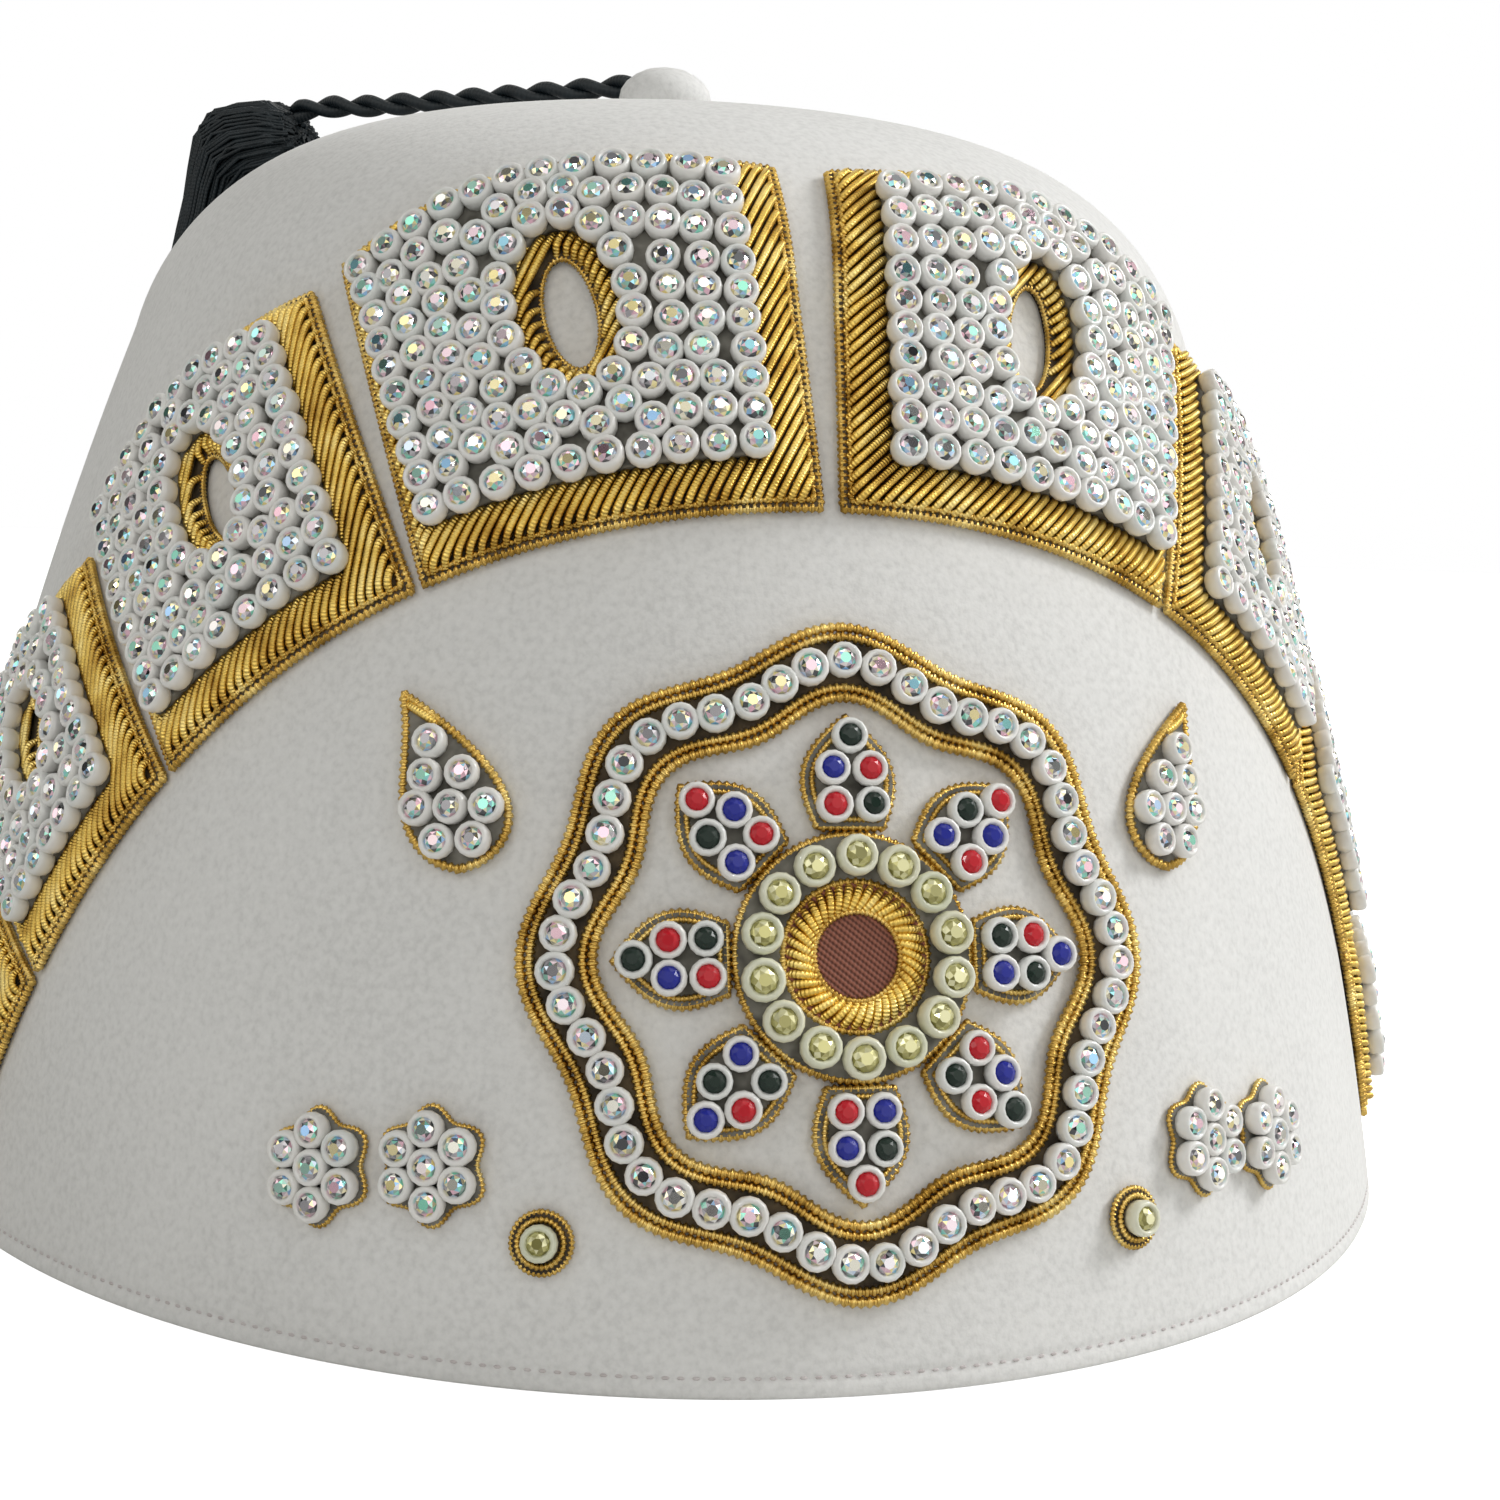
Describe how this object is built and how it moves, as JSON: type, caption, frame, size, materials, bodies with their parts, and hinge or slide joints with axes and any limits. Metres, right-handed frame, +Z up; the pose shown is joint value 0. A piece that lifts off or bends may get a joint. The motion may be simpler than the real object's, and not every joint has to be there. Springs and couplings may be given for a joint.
{
  "type": "fez",
  "caption": "Low oval felt fez with a covered crown button, a corded tassel over the back, and a raised stone-set arch and medallion on its front wall.",
  "frame": {"origin": "middle of the rim's oval, in the plane on which the rim rests", "axes": "+Z up through the crown button, -Y towards the ornament at the front, +X to the right of a person who looks at the front"},
  "size_m": [0.172, 0.207, 0.1265],
  "materials": {
    "white_felt": "smooth pressed wool felt, matt",
    "dark_silk": "twisted artificial silk, soft sheen",
    "gold_thread": "gold wire purl and cord, bright",
    "crystal": "foiled clear stones in white cups, iridescent",
    "stone_cup": "white cups, gloss",
    "coloured_stone": "red, blue and dark green stones in white cups, gloss",
    "yellow_stone": "pale yellow stones in white cups, gloss",
    "brown_twill": "brown twill weave, matt"
  },
  "bodies": {
    "root": {"felt_shell": "white_felt", "crown_button": "white_felt", "tassel_cord": "dark_silk", "tassel": "dark_silk", "arch_tile_left_1": "crystal", "arch_tile_left_2": "crystal", "arch_tile_left_3": "crystal", "arch_tile_left_4": "crystal", "arch_tile_right_1": "crystal", "arch_tile_right_2": "crystal", "arch_tile_right_3": "crystal", "arch_tile_right_4": "crystal", "wreath_stone_row": "crystal", "wreath_cord_outer": "gold_thread", "wreath_cord_inner": "gold_thread", "petal_1": "coloured_stone", "petal_2": "coloured_stone", "petal_3": "coloured_stone", "petal_4": "coloured_stone", "petal_5": "coloured_stone", "petal_6": "coloured_stone", "petal_7": "coloured_stone", "petal_8": "coloured_stone", "rosette_ring": "yellow_stone", "rosette_hub": "brown_twill", "boteh_left": "stone_cup", "boteh_right": "stone_cup", "floret_left_1": "stone_cup", "floret_left_2": "stone_cup", "floret_right_1": "stone_cup", "floret_right_2": "stone_cup", "ringed_stone_left": "yellow_stone", "ringed_stone_right": "yellow_stone"}
  },
  "joints": []
}
